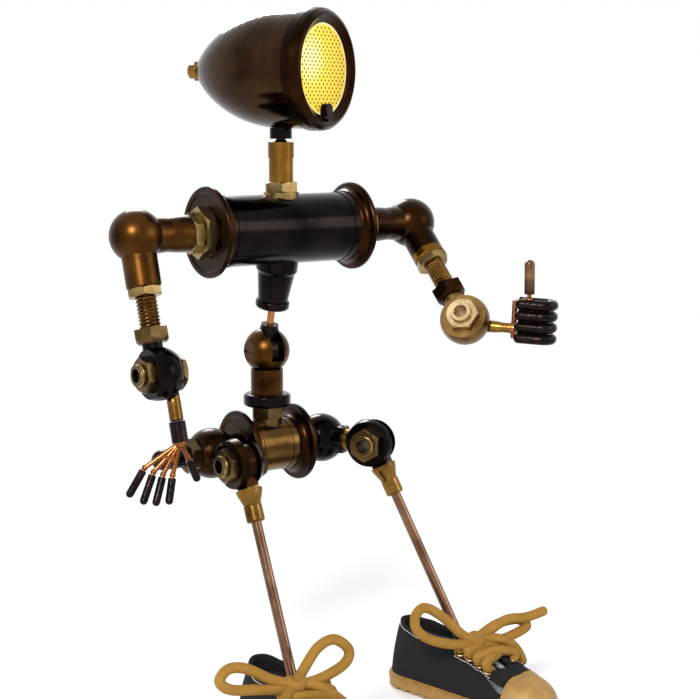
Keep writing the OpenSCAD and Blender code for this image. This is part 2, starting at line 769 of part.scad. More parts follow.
// Open right hand: five copper wires that leave the wrist together.
module open_wires() {
    r = wire_d / 2;
    roots = concat(finger_roots, [thumb_root]);
    tips = concat(finger_tips, [thumb_tip]);
    union() {
        domed_bar([0, 0, -0.3], [0, 0, -sleeve_len - 3], 2.7);
        for (i = [0 : 4]) {
            bar([0, 0, -sleeve_len], roots[i], r);
            bar(roots[i], roots[i] + 0.8 * (tips[i] - roots[i]), r);
            translate(roots[i]) sphere(r = r * 1.3);
        }
        bar(0.52 * finger_roots[0] + [0, 0, -5], 0.52 * finger_roots[3] + [0, 0, -5], 1.3);
    }
}

// Black sleeve over one finger wire, closed and round at the tip.
module finger_sleeve(root, tip) {
    v = (tip - root) / norm(tip - root);
    difference() {
        domed_bar(root + 1.6 * v, tip, finger_d / 2);
        bar(root, root + 0.8 * (tip - root), wire_d / 2);
    }
}

module open_sleeves() {
    translate([0, 0, -sleeve_len]) difference() {
        cylinder(h = sleeve_len - 0.3, r = 3.8);
        translate([0, 0, -1]) cylinder(h = sleeve_len + 2, r = 2.7);
    }
    for (i = [0 : 3]) finger_sleeve(finger_roots[i], finger_tips[i]);
    finger_sleeve(thumb_root, thumb_tip);
}

// One curled finger: a straight, a half turn and a shorter straight with a round tip.
module curled_finger() {
    r = fist_d / 2;
    bar([curl_r, 0, fist_reach], [curl_r, 0, fist_start], r);
    intersection() {
        translate([0, 0, fist_reach]) rotate([90, 0, 0]) rotate_extrude()
            translate([curl_r, 0]) circle(r = r);
        translate([-20, -20, fist_reach - 20]) cube([40, 40, 20]);
    }
    domed_bar([-curl_r, 0, fist_reach], [-curl_r, 0, fist_start], r);
}

// Closed left hand with the thumb up.
module fist_fingers() {
    for (i = [-1.5 : 1 : 1.5]) translate([0, fist_shift + i * fist_pitch, 0]) curled_finger();
    domed_bar(thumb_foot, fist_thumb_tip, fist_d / 2);
}

// Copper palm of the fist: a spine across the hand with a peg to the root of each
// finger and one to the thumb.
module fist_wires() {
    r = wire_d / 2 + 0.2;
    spine_z = fist_start + 1.3;
    spine_end = fist_shift - 1.5 * fist_pitch;
    union() {
        domed_bar([0, 0, 0], [0, 0, -4.4], 3.1);
        bar([0, spine_end - 1, spine_z], [0, fist_shift + 1.5 * fist_pitch + 1, spine_z], r);
        for (i = [-1.5 : 1 : 1.5]) {
            root = [curl_r, fist_shift + i * fist_pitch, fist_start];
            bar([0, root.y, spine_z], [root.x + 0.8, root.y, spine_z], r - 0.1);
            bar([root.x, root.y, spine_z], root, r - 0.4);
        }
        bar([0, spine_end, spine_z], thumb_foot + [0, 3, 0], r - 0.1);
        translate(thumb_foot + [0, 3, 0]) sphere(r = r * 1.2);
        bar(thumb_foot + [0, 3, 0], thumb_foot, r - 0.2);
    }
}

module hand_wires(side) {
    color("chocolate") at_hand(side) if (side == right) open_wires(); else fist_wires();
}

module right_hand_sleeves() { color("black") at_hand(right) open_sleeves(); }
module left_hand_fingers() { color("black") at_hand(left) fist_fingers(); }

// ---------- head ----------

// Half profile of the bullet shell: an ogive that closes to the tail.
function ogive(r, tail_r, s_end, inset) =
    let (rho = ((s_end * s_end) + pow(r - tail_r, 2)) / (2 * (r - tail_r)))
    [for (i = [0 : 14]) let (a = i / 14 * asin(s_end / rho))
        [r - rho + (rho - inset) * cos(a), -(rho - inset) * sin(a)]];

module along_head() { rotate([90, 0, 0]) children(); }

module head_shell() {
    outer = ogive(shell_r, tail_r, tail_len + straight_s, 0);
    inner = ogive(shell_r, tail_r, tail_len + straight_s, shell_wall);
    color("sienna") at_head() difference() {
        along_head() translate([0, 0, straight_s]) rotate_extrude($fn = 72) polygon(concat(
            [[shell_r, nose_len - straight_s]], outer, [for (i = [14 : -1 : 0]) inner[i]],
            [[shell_r - shell_wall, nose_len - straight_s]]));
        translate([0, 0, -shell_r - 1]) cylinder(h = 4, r = 3);
    }
}

// Bezel ring: it slips over the shell, holds lens and grille, and carries a catch below.
module head_bezel() {
    front = nose_len + 6;
    color("saddlebrown") at_head() along_head() {
        rotate_extrude($fn = 72) polygon([[shell_r + 0.05, nose_len - 3.4], [shell_r + 1, nose_len - 3.4],
            [shell_r + 1, nose_len + 1], [shell_r + 0.6, nose_len + 3.4], [shell_r - 1, front - 0.6],
            [shell_r - 2.4, front], [light_d / 2 + 1.4, front - 1.8], [light_d / 2, front - 2.6],
            [light_d / 2, nose_len + 3], [shell_r - 1.6, nose_len + 3], [shell_r - 1.6, nose_len + 0.05],
            [shell_r + 0.05, nose_len + 0.05]]);
        translate([0, -light_d / 2 + 2.6, nose_len + 3]) {
            cylinder(h = 3.4, r = 3.1);
            translate([-3.1, -4, 0]) cube([6.2, 4, 3]);
        }
    }
}

// Grille: a thin plate with rows of diamond holes, each row shifted by half a step.
module head_grille() {
    plate_r = shell_r - 1.65;
    row = grille_pitch * 0.5;
    rows = floor((light_d / 2 - 1.6) / row);
    color("gold") at_head() along_head() translate([0, 0, nose_len + 2]) difference() {
        cylinder(h = 1, r = plate_r, $fn = 72);
        for (j = [-rows : rows]) {
            shift = j % 2 == 0 ? 0 : grille_pitch / 2;
            cols = ceil(light_d / 2 / grille_pitch);
            for (i = [-cols : cols]) {
                x = i * grille_pitch + shift;
                if (norm([x, j * row]) < light_d / 2 - 1.4) translate([x, j * row, -1])
                    cylinder(h = 3, r = grille_hole / 2, $fn = 4);
            }
        }
    }
}

module head_lens() {
    color("khaki") at_head() along_head() translate([0, 0, nose_len + 0.1])
        cylinder(h = 1.9, r = shell_r - 1.65, $fn = 72);
}

// Lamp board: heat sink plate that bears on the shell, board and light dome.
module head_lamp() {
    plate_s = -6;
    plate_r = ogive_r(plate_s);
    color("silver") at_head() along_head() union() {
        translate([0, 0, plate_s - 1.5]) cylinder(h = 1.5, r = plate_r);
        translate([0, 0, plate_s]) cylinder(h = 6, r = 13);
        intersection() {
            translate([0, 0, plate_s + 4]) sphere(r = 9);
            translate([0, 0, plate_s + 6]) cylinder(h = 9, r = 12);
        }
    }
}
// Inner radius of the shell at a place behind its middle.
function ogive_r(s) =
    let (e = tail_len + straight_s, rho = ((e * e) + pow(shell_r - tail_r, 2)) / (2 * (shell_r - tail_r)))
    shell_r - rho + sqrt(pow(rho - shell_wall, 2) - pow(s - 1.5 - straight_s, 2)) - 0.15;

// Threaded gland in the tail where the lead leaves the head.
module head_gland() {
    color("goldenrod") at_head() along_head() difference() {
        union() {
            translate([0, 0, -tail_len - 6]) cylinder(h = 12, r = tail_r - 1.35);
            translate([0, 0, -tail_len - 2.2]) cylinder(h = 2, r = tail_r + 0.4, $fn = 6);
        }
        translate([0, 0, -tail_len - 7]) cylinder(h = 14, r = 2);
    }
}

// Stub under the shell that ends in the small ball of the tilt joint.
module head_boss() {
    color("black") at_head() {
        difference() {
            translate([0, 0, -shell_r - boss_h]) cylinder(h = boss_h + 3, r = 5.4);
            along_head() translate([0, 0, -10]) cylinder(h = 20, r = shell_r);
        }
        translate([0, 0, -shell_r - tilt_drop]) cylinder(h = tilt_drop - 3, r = 2.3);
        translate([0, 0, -shell_r - 0.6]) cylinder(h = 3.6, r = 3 - fit);
        translate([0, 0, -shell_r - tilt_drop]) sphere(r = 4);
    }
}

// Cup on top of the neck pipe that holds the small ball and turns on the pipe.
module head_collar() {
    color("peru") at_head() translate([0, 0, -shell_r - boss_h - collar_gap - cup_h]) difference() {
        cylinder(h = cup_h, r = neck_pipe_r + 0.4);
        translate([0, 0, cup_h + boss_h + collar_gap - tilt_drop]) sphere(r = 4 + seam);
        translate([0, 0, cup_h + boss_h + collar_gap - tilt_drop]) cylinder(h = 9, r1 = 3.4, r2 = 9);
    }
}

// ---------- every node by name ----------

pelvis_barrel();
pelvis_flanges();
pelvis_axle();
pelvis_nuts();
waist_collar();
waist_fork();
waist_pin();
dimmer_knob();
hip_elbow(right);  // right_hip_elbow
hip_fork(right);  // right_hip_fork
hip_pin(right);  // right_hip_pin
leg_tongue(right);  // right_leg_tongue
leg_rod(right);  // right_leg_rod
shoe_upper(right);  // right_shoe_upper
shoe_sole(right);  // right_shoe_sole
shoe_tongue(right);  // right_shoe_tongue
shoe_laces(right);  // right_shoe_laces
shoe_weight(right);  // right_shoe_weight
hip_elbow(left);  // left_hip_elbow
hip_fork(left);  // left_hip_fork
hip_pin(left);  // left_hip_pin
leg_tongue(left);  // left_leg_tongue
leg_rod(left);  // left_leg_rod
shoe_upper(left);  // left_shoe_upper
shoe_sole(left);  // left_shoe_sole
shoe_tongue(left);  // left_shoe_tongue
shoe_laces(left);  // left_shoe_laces
shoe_weight(left);  // left_shoe_weight
waist_tongue();
waist_stud();
waist_fitting();
torso_barrel();
torso_flanges();
torso_axle();
torso_nuts();
neck_pipe();
shoulder_ball(right);  // right_shoulder_ball
arm_nipple(right);  // right_arm_nipple
arm_nut(right);  // right_arm_nut
elbow_fork(right);  // right_elbow_fork
elbow_pin(right);  // right_elbow_pin
elbow_tongue(right);  // right_elbow_tongue
hand_wires(right);  // right_hand_wires
right_hand_sleeves();
shoulder_ball(left);  // left_shoulder_ball
arm_nipple(left);  // left_arm_nipple
arm_nut(left);  // left_arm_nut
elbow_fork(left);  // left_elbow_fork
elbow_pin(left);  // left_elbow_pin
elbow_tongue(left);  // left_elbow_tongue
hand_wires(left);  // left_hand_wires
left_hand_fingers();
head_collar();
head_boss();
head_shell();
head_bezel();
head_grille();
head_lens();
head_lamp();
head_gland();
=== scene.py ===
import json
import math

import bpy
from mathutils import Matrix, Vector


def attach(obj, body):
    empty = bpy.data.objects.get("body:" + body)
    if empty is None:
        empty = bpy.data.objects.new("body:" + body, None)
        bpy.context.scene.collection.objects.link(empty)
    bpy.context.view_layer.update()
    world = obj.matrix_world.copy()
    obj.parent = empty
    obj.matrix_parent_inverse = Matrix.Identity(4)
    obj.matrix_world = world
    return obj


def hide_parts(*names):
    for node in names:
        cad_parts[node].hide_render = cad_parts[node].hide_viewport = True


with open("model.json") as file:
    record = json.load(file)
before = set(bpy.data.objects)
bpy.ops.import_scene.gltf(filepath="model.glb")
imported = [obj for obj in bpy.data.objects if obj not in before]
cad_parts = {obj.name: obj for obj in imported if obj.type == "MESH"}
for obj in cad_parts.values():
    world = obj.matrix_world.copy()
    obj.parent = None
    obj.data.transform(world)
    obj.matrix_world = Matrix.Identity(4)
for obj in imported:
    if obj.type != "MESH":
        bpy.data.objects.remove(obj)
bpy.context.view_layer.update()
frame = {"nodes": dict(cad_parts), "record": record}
nodes = frame["nodes"]
mm = 0.001

stance = {  # the lamp's own numbers, in millimetres and degrees
    "middle": (7.58, -47.12),
    "pelvisZ": 128.025, "waistRise": 48.5, "torsoRise": 61.5, "torsoForward": 14, "headRise": 76.5,
    "headYaw": 24.6, "shoulderX": 80, "upperArm": 64.2, "hipX": 33, "hipLink": 29, "legLen": 122,
    "shoeBack": 17, "tongueMid": 2.1, "forearmX": 5.85, "forearmLen": 22.5, "handTurn": -29.3,
    "swing": {"right": 16.5, "left": 44}, "twist": {"right": 0, "left": 45},
    "bend": {"right": 0, "left": 53}, "hipYaw": {"right": 0, "left": 30},
    "lean": {"right": 23.8, "left": 26.5}, "toeOut": {"right": -5, "left": 12},
    "sign": {"right": -1, "left": 1},
}


def shift(x, y, z):
    return Matrix.Translation((x * mm, y * mm, z * mm))


def turn(degrees, axis):
    return Matrix.Rotation(math.radians(degrees), 4, axis)


def fromMiddle(x, y, z):
    return shift(x - stance["middle"][0], y - stance["middle"][1], z)


torsoZ = stance["pelvisZ"] + stance["waistRise"] + stance["torsoRise"]
headPlace = fromMiddle(0, -stance["torsoForward"], torsoZ + stance["headRise"]) @ turn(stance["headYaw"], "Z")


def armPlace(side):
    reach = stance["sign"][side] * stance["shoulderX"]
    return fromMiddle(reach, -stance["torsoForward"], torsoZ) @ turn(-stance["swing"][side], "X")


def elbowPlace(side):
    return armPlace(side) @ shift(0, 0, -stance["upperArm"]) @ turn(stance["twist"][side], "Z")


def forearmPlace(side):
    return elbowPlace(side) @ turn(-stance["bend"][side], "X")


def handPlace(side):
    wrist = shift(stance["forearmX"], 0, -stance["forearmLen"])
    return forearmPlace(side) @ wrist @ turn(stance["handTurn"], "Z")


def hipPlace(side):
    hip = fromMiddle(stance["sign"][side] * stance["hipX"], 0, stance["pelvisZ"])
    return hip @ turn(stance["hipYaw"][side], "Z") @ shift(-stance["tongueMid"], -stance["hipLink"], 0)


def legPlace(side):
    return hipPlace(side) @ turn(-stance["lean"][side], "X")


def shoePlace(side):
    yaw = stance["hipYaw"][side]
    forward = stance["hipLink"] + stance["legLen"] * math.sin(math.radians(stance["lean"][side]))
    hip = fromMiddle(stance["sign"][side] * stance["hipX"], 0, 0) @ turn(yaw, "Z")
    toe = turn(stance["toeOut"][side] - yaw, "Z")
    return hip @ shift(0, -forward, 0) @ toe @ shift(0, stance["shoeBack"], 0)


class Shade:  # one number in a shader, so that sums read as sums
    def __init__(self, graph, socket):
        self.graph = graph
        self.socket = socket

    def math(self, operation, other=0.0, flip=False, clamp=False):
        pair = (other, self) if flip else (self, other)
        settings = {"operation": operation, "use_clamp": clamp}
        node = self.graph.add("ShaderNodeMath", settings, {0: pair[0], 1: pair[1]})
        return Shade(self.graph, node.outputs[0])

    def __add__(self, other):
        return self.math("ADD", other)

    def __sub__(self, other):
        return self.math("SUBTRACT", other)

    def __mul__(self, other):
        return self.math("MULTIPLY", other)

    def __truediv__(self, other):
        return self.math("DIVIDE", other)

    def __rsub__(self, other):
        return self.math("SUBTRACT", other, flip=True)

    __radd__ = __add__
    __rmul__ = __mul__

    def wave(self):
        return self.math("SINE")

    def clamp(self):
        return self.math("ADD", 0.0, clamp=True)

    def band(self, low, high):  # 0 below low, 1 above high
        return ((self - low) / (high - low)).clamp()


class Nodes:  # adds nodes to the tree of a material or a world
    def __init__(self, owner):
        owner.use_nodes = True
        self.tree = owner.node_tree
        self.tree.nodes.clear()

    def add(self, kind, settings, sockets):
        node = self.tree.nodes.new(kind)
        for key, value in settings.items():
            if key == "stops":
                ramp = node.color_ramp
                while len(ramp.elements) < len(value):
                    ramp.elements.new(0.5)
                for element, (spot, colour) in zip(ramp.elements, value):
                    element.position = spot
                    element.color = (*colour, 1)
            else:
                setattr(node, key, value)
        for key, value in sockets.items():
            self.plug(node.inputs[key], value)
        return node

    def plug(self, socket, value):
        if isinstance(value, Shade):
            value = value.socket
        if isinstance(value, bpy.types.NodeSocket):
            self.tree.links.new(value, socket)
        else:
            socket.default_value = value


class Graph(Nodes):  # a material's node tree
    def __init__(self, name):
        self.material = bpy.data.materials.new(name)
        super().__init__(self.material)
        self.shader = self.add("ShaderNodeBsdfPrincipled", {}, {})
        self.output = self.add("ShaderNodeOutputMaterial", {}, {0: self.shader.outputs[0]})
        self.place = self.add("ShaderNodeTexCoord", {}, {}).outputs["Object"]

    def frameOf(self, place):  # object coordinates seen from a local frame
        inverse = place.inverted()
        sockets = {"Vector": self.place, "Rotation": inverse.to_euler(), "Location": inverse.to_translation()}
        return self.add("ShaderNodeMapping", {"vector_type": "POINT"}, sockets).outputs[0]

    def noise(self, scale, detail=3.0, stretch=(1, 1, 1), rough=0.55, source=None):
        start = source or self.place
        if stretch != (1, 1, 1):
            start = self.add("ShaderNodeMapping", {}, {"Vector": start, "Scale": stretch}).outputs[0]
        sockets = {"Vector": start, "Scale": scale, "Detail": detail, "Roughness": rough}
        return Shade(self, self.add("ShaderNodeTexNoise", {}, sockets).outputs[0])

    def axes(self, source):
        split = self.add("ShaderNodeSeparateXYZ", {}, {0: source})
        return [Shade(self, output) for output in split.outputs]

    def ramp(self, factor, stops):
        return self.add("ShaderNodeValToRGB", {"stops": stops}, {0: factor}).outputs[0]

    def mix(self, factor, first, second):
        node = self.tree.nodes.new("ShaderNodeMix")
        node.data_type = "RGBA"
        node.clamp_factor = True
        for index, value in ((0, factor), (6, first), (7, second)):
            if isinstance(value, tuple):
                value = (*value, 1) if len(value) == 3 else value
            self.plug(node.inputs[index], value)
        return node.outputs[2]

    def finish(self, colour, roughness, metallic=0.0, bumps=(), **others):
        self.plug(self.shader.inputs["Base Color"], (*colour, 1) if isinstance(colour, tuple) else colour)
        self.plug(self.shader.inputs["Roughness"], roughness)
        self.plug(self.shader.inputs["Metallic"], metallic)
        normal = None
        for height, distance in bumps:
            sockets = {"Height": height, "Distance": distance, "Strength": 1.0}
            if normal:
                sockets["Normal"] = normal
            normal = self.add("ShaderNodeBump", {}, sockets).outputs[0]
        if normal:
            self.plug(self.shader.inputs["Normal"], normal)
        for key, value in others.items():
            self.plug(self.shader.inputs[key.replace("_", " ")], value)
        return self.material


metalLooks = {  # name: dark, main and worn colour, roughness from and to, how much is worn
    "darkBronze": [(0.006, 0.002, 0.001), (0.030, 0.012, 0.004), (0.22, 0.10, 0.025), 0.20, 0.34, 0.10],
    "shellBronze": [(0.020, 0.009, 0.004), (0.052, 0.027, 0.013), (0.15, 0.08, 0.03), 0.07, 0.15, 0.05],
    "amberBronze": [(0.020, 0.007, 0.002), (0.090, 0.036, 0.007), (0.35, 0.17, 0.03), 0.24, 0.38, 0.08],
    "goldBronze": [(0.07, 0.035, 0.010), (0.22, 0.125, 0.040), (0.50, 0.33, 0.13), 0.24, 0.40, 0.20],
    "agedBrass": [(0.07, 0.032, 0.007), (0.27, 0.145, 0.032), (0.62, 0.40, 0.13), 0.18, 0.34, 0.20],
    "amberPipe": [(0.10, 0.045, 0.008), (0.27, 0.13, 0.018), (0.50, 0.28, 0.06), 0.20, 0.32, 0.10],
    "pelvisBrass": [(0.045, 0.022, 0.007), (0.15, 0.085, 0.022), (0.38, 0.25, 0.08), 0.16, 0.30, 0.12],
    "paleBrass": [(0.13, 0.08, 0.028), (0.42, 0.29, 0.115), (0.78, 0.60, 0.32), 0.20, 0.38, 0.30],
    "creamBrass": [(0.28, 0.18, 0.08), (0.66, 0.50, 0.27), (0.92, 0.80, 0.54), 0.20, 0.34, 0.30],
    "darkBrass": [(0.04, 0.024, 0.009), (0.15, 0.095, 0.034), (0.42, 0.30, 0.13), 0.22, 0.40, 0.22],
    "brightCopper": [(0.13, 0.038, 0.011), (0.42, 0.155, 0.05), (0.74, 0.35, 0.14), 0.14, 0.30, 0.20],
    "blackGloss": [(0.004, 0.003, 0.003), (0.013, 0.010, 0.009), (0.08, 0.035, 0.016), 0.12, 0.22, 0.06],
    "rodSteel": [(0.11, 0.055, 0.032), (0.26, 0.145, 0.09), (0.66, 0.48, 0.36), 0.14, 0.26, 0.10],
    "plainSteel": [(0.10, 0.10, 0.11), (0.22, 0.22, 0.23), (0.42, 0.42, 0.43), 0.40, 0.60, 0.20],
    "lampBoard": [(0.40, 0.40, 0.42), (0.62, 0.62, 0.63), (0.85, 0.85, 0.85), 0.30, 0.45, 0.20],
}


def metalCoat(graph, look, cloud, mottled, scratch):
    dark, main, worn, smooth, rough, wear = metalLooks[look]
    colour = graph.mix(cloud.band(0.30, 0.70), dark, main)
    wornMask = (mottled * 0.6 + scratch * 0.4).band(0.60 - 0.12 * wear, 0.76) * wear * 2.0
    return graph.mix(wornMask, colour, worn), smooth + (rough - smooth) * (cloud * 0.5 + scratch * 0.5)


def metal(name, look, second=None, maskOf=None):  # the second look shows where the mask is 1
    graph = Graph(name)
    cloud = graph.noise(60, 3)
    mottled = graph.noise(420, 4, rough=0.65)
    scratch = graph.noise(900, 2, stretch=(0.5, 0.5, 3.2))
    pits = graph.noise(2600, 1)
    colour, roughness = metalCoat(graph, look, cloud, mottled, scratch)
    if second:
        mask = maskOf(graph)
        otherColour, otherRoughness = metalCoat(graph, second, cloud, mottled, scratch)
        colour = graph.mix(mask, colour, otherColour)
        roughness = roughness + (otherRoughness - roughness) * mask
    roughness = roughness + pits.band(0.62, 0.8) * 0.08
    bumps = ((scratch, 0.000010), (pits.band(0.68, 0.82) * -1.0, 0.00002))
    return graph.finish(colour, roughness, 1.0, bumps)


def beyond(place, low, high):  # mask that rises with the distance from a place, in millimetres
    def mask(graph):
        x, y, z = graph.axes(graph.frameOf(place))
        return (x * x + y * y + z * z).math("SQRT").band(low * mm, high * mm)
    return mask


def above(place, low, high, axis=2, sign=1):  # mask that rises along one axis of a place
    return lambda graph: (graph.axes(graph.frameOf(place))[axis] * sign).band(low * mm, high * mm)


def sleeveRubber(name, tipOf=None):
    graph = Graph(name)
    cloud = graph.noise(160, 4)
    streak = graph.noise(700, 3, stretch=(1, 1, 0.3))
    colour = graph.ramp(cloud * 0.6 + streak * 0.4,
                        [(0.3, (0.003, 0.002, 0.002)), (0.56, (0.010, 0.005, 0.004)),
                         (0.78, (0.085, 0.022, 0.010))])
    if tipOf:
        bare = graph.ramp(cloud, [(0.3, (0.10, 0.045, 0.020)), (0.7, (0.26, 0.14, 0.07))])
        colour = graph.mix(tipOf(graph), colour, bare)
    roughness = 0.14 + streak * 0.16
    bumps = ((cloud, 0.0004), (streak, 0.00008))
    return graph.finish(colour, roughness, 0.85, bumps)


grilleGlow = {  # millimetres from the middle of the plate
    "lampX": -12, "lampZ": 5, "core": (1, 14), "edge": (10, 36), "rim": (20.6, 21.2), "front": (23.85, 23.97),
    "strength": 0.90,
}


def glowingGrille():
    graph = Graph("glowingGrille")
    x, y, z = graph.axes(graph.frameOf(headPlace))
    aside, up = x - grilleGlow["lampX"] * mm, z - grilleGlow["lampZ"] * mm
    spread = (aside * aside + up * up).math("SQRT")
    core, edge = (1 - spread.band(*(r * mm for r in grilleGlow[part])) for part in ("core", "edge"))
    cloud = graph.noise(240, 2)
    warm = graph.mix((edge * 0.8 + cloud * 0.25).clamp(), (0.55, 0.38, 0.012), (0.96, 0.80, 0.06))
    glow = graph.mix(core, warm, (1.0, 0.97, 0.60))
    rim = (x * x + z * z).math("SQRT").band(*(r * mm for r in grilleGlow["rim"]))
    front = above(headPlace, *grilleGlow["front"], axis=1, sign=-1)(graph)  # the walls of the holes stay dark
    glow = graph.mix(front, (0.05, 0.026, 0.002), graph.mix(rim, glow, (1.0, 0.86, 0.52)))
    return graph.finish((0.30, 0.20, 0.03), 0.4, 0.6, ((graph.noise(1500, 2), 0.00002),),
                        Emission_Color=glow, Emission_Strength=grilleGlow["strength"])


def amberLens():
    graph = Graph("amberLens")
    ripple = graph.noise(300, 3)
    colour = graph.ramp(ripple, [(0.3, (0.035, 0.014, 0.002)), (0.7, (0.09, 0.040, 0.006))])
    return graph.finish(colour, 0.3 + ripple * 0.1, 0.0, ((ripple, 0.0001),))


def woven(graph, pitch):  # crossing threads on the piece's own UV map, pitch in mm
    u, v, w = graph.axes(graph.add("ShaderNodeUVMap", {}, {}).outputs[0])
    turns = 2 * math.pi / (pitch * mm)
    return (u * turns).wave() * (v * turns).wave() * 0.5 + 0.5


def canvas():
    graph = Graph("canvasCharcoal")
    weave = woven(graph, 0.85)
    thread = graph.noise(2200, 2)
    dust = graph.noise(90, 4)
    colour = graph.ramp(weave * 0.45 + thread * 0.35 + dust * 0.2,
                        [(0.25, (0.004, 0.0035, 0.004)), (0.55, (0.012, 0.010, 0.011)),
                         (0.85, (0.045, 0.038, 0.036))])
    bumps = ((weave, 0.00012), (thread, 0.00005))
    return graph.finish(colour, 0.85 + thread * 0.1, 0.0, bumps, Specular_IOR_Level=0.2)


def paleLining():
    graph = Graph("paleLining")
    weave = woven(graph, 0.7)
    soft = graph.noise(260, 4)
    colour = graph.ramp(weave * 0.4 + soft * 0.6, [(0.2, (0.24, 0.23, 0.24)), (0.8, (0.52, 0.50, 0.51))])
    return graph.finish(colour, 0.85 + soft * 0.1, 0.0, ((weave, 0.0001), (soft, 0.0002)))


def lace():
    graph = Graph("ochreLace")
    uv = graph.add("ShaderNodeUVMap", {}, {}).outputs[0]
    around, along, w = graph.axes(uv)
    spin = along * (2 * math.pi / (2.2 * mm))  # one turn of the braid
    turns = around * (2 * math.pi * 7)  # threads round the cord
    braid = (turns + spin).wave() * (turns - spin).wave() * 0.5 + 0.5
    fibre = graph.noise(1900, 3)
    strand = graph.noise(900, 3, stretch=(24, 1.4, 1), source=uv)
    cloud = graph.noise(120, 4)
    colour = graph.ramp(braid * 0.06 + fibre * 0.22 + strand * 0.42 + cloud * 0.3,
                        [(0.28, (0.13, 0.060, 0.008)), (0.5, (0.34, 0.175, 0.028)),
                         (0.74, (0.50, 0.29, 0.065))])
    bumps = ((braid, 0.00006), (strand, 0.00022), (fibre, 0.00010))
    return graph.finish(colour, 0.82 + fibre * 0.12, 0.0, bumps, Specular_IOR_Level=0.25)


def tanRubber():
    graph = Graph("tanRubber")
    soft = graph.noise(130, 4)
    grain = graph.noise(1400, 3)
    scuff = graph.noise(60, 5, stretch=(1, 1, 4))
    colour = graph.ramp(soft * 0.6 + grain * 0.25 + scuff * 0.15,
                        [(0.25, (0.20, 0.10, 0.020)), (0.55, (0.36, 0.20, 0.045)),
                         (0.85, (0.50, 0.31, 0.10))])
    return graph.finish(colour, 0.42 + grain * 0.2, 0.0, ((soft, 0.0002), (grain, 0.00004)))


def stitchThread():
    graph = Graph("stitchThread")
    fibre = graph.noise(2400, 2)
    colour = graph.ramp(fibre, [(0.3, (0.42, 0.40, 0.38)), (0.7, (0.70, 0.67, 0.62))])
    return graph.finish(colour, 0.8 + fibre * 0.1, 0.0, ((fibre, 0.00006),))


def paint(item, material):
    item.data.materials.clear()
    item.data.materials.append(material)


looks = {
    "dark_bronze": metal("darkBronze", "darkBronze"), "shell_bronze": metal("shellBronze", "shellBronze"),
    "brass": metal("agedBrass", "agedBrass"), "pale_brass": metal("paleBrass", "paleBrass"),
    "copper": metal("brightCopper", "brightCopper"), "black_metal": metal("blackGloss", "blackGloss"),
    "rod_steel": metal("rodSteel", "rodSteel"), "weight": metal("plainSteel", "plainSteel"),
    "lamp": metal("lampBoard", "lampBoard"), "black_sleeve": sleeveRubber("blackSleeve"),
    "grille": glowingGrille(), "lens": amberLens(), "canvas": canvas(), "sole_rubber": tanRubber(),
    "lace": lace(),
}
amberBronze, amberPipe = metal("amberBronze", "amberBronze"), metal("amberPipe", "amberPipe")
darkBrass, creamBrass = metal("darkBrass", "darkBrass"), metal("creamBrass", "creamBrass")
nodeLooksAndLight = {  # nodes painted apart from the rest of their slot: some in a tone of their own, and left and right copies of one part in a lighter and a darker tone, as painted highlight and painted shade
    # right_shoulder_ball in amber bronze as painted highlight; left_shoulder_ball, the same part, in dark bronze
    # as painted shade
    "waist_fork": amberBronze, "waist_pin": amberBronze, "right_shoulder_ball": amberBronze,
    # left_elbow_pin in pale cream brass as painted highlight; right_elbow_pin, the same part, in dark brass as
    # painted shade
    "left_elbow_pin": creamBrass, "neck_pipe": amberPipe, "head_collar": amberPipe,
    "pelvis_barrel": metal("pelvisBrass", "pelvisBrass"), "right_elbow_pin": darkBrass,
    "right_hip_pin": darkBrass, "left_hip_pin": darkBrass, "pelvis_nuts": darkBrass,
    # left_hip_elbow in black as painted shade; right_hip_elbow, the same part, keeps its slot's finish
    "left_hip_elbow": looks["black_metal"],
    # painted shade darkens the left shoulder ball and its upper neck; from 20 mm down, the neck keeps the amber
    # tone
    "left_shoulder_ball": metal("leftShoulder", "darkBronze", "amberPipe",
                                above(armPlace("left"), 20, 20.8, sign=-1)),
    "left_hand_fingers": sleeveRubber("fistSleeve", above(handPlace("left"), 17, 26, axis=1, sign=-1)),
}
swivelLooks = {  # the look of each swivel half, and the one of the neck or socket on it; the right and left copies are the same parts, painted lighter or darker as painted highlight and painted shade: the left elbow half in gold bronze, the right elbow half and the left hip half in black
    "right": {"elbowFork": ("blackGloss", "darkBrass"), "elbowTongue": ("blackGloss", "agedBrass"),
              "hipFork": ("darkBronze", "agedBrass"), "legTongue": ("darkBronze", "agedBrass")},
    "left": {"elbowFork": ("goldBronze", "darkBronze"), "elbowTongue": ("darkBronze", "agedBrass"),
             "hipFork": ("blackGloss", "agedBrass"), "legTongue": ("darkBronze", "agedBrass")},
}
for side, pair in swivelLooks.items():
    socket, neck = above(elbowPlace(side), 13.7, 14.0), beyond(forearmPlace(side), 12.9, 13.4)
    nodeLooksAndLight[side + "_elbow_fork"] = metal(side + "ElbowHalf", *pair["elbowFork"], socket)
    nodeLooksAndLight[side + "_elbow_tongue"] = metal(side + "Forearm", *pair["elbowTongue"], neck)
    link, ferrule = beyond(hipPlace(side), 12.9, 13.4), beyond(legPlace(side), 13.0, 14.0)
    nodeLooksAndLight[side + "_hip_fork"] = metal(side + "HipFork", *pair["hipFork"], link)
    nodeLooksAndLight[side + "_leg_tongue"] = metal(side + "LegTongue", *pair["legTongue"], ferrule)
slotOf = {part["node"]: part["material_slot"] for part in frame["record"]["subparts"]}
for name, node in nodes.items():
    paint(node, nodeLooksAndLight.get(name, looks[slotOf[name]]))
print("materials done")


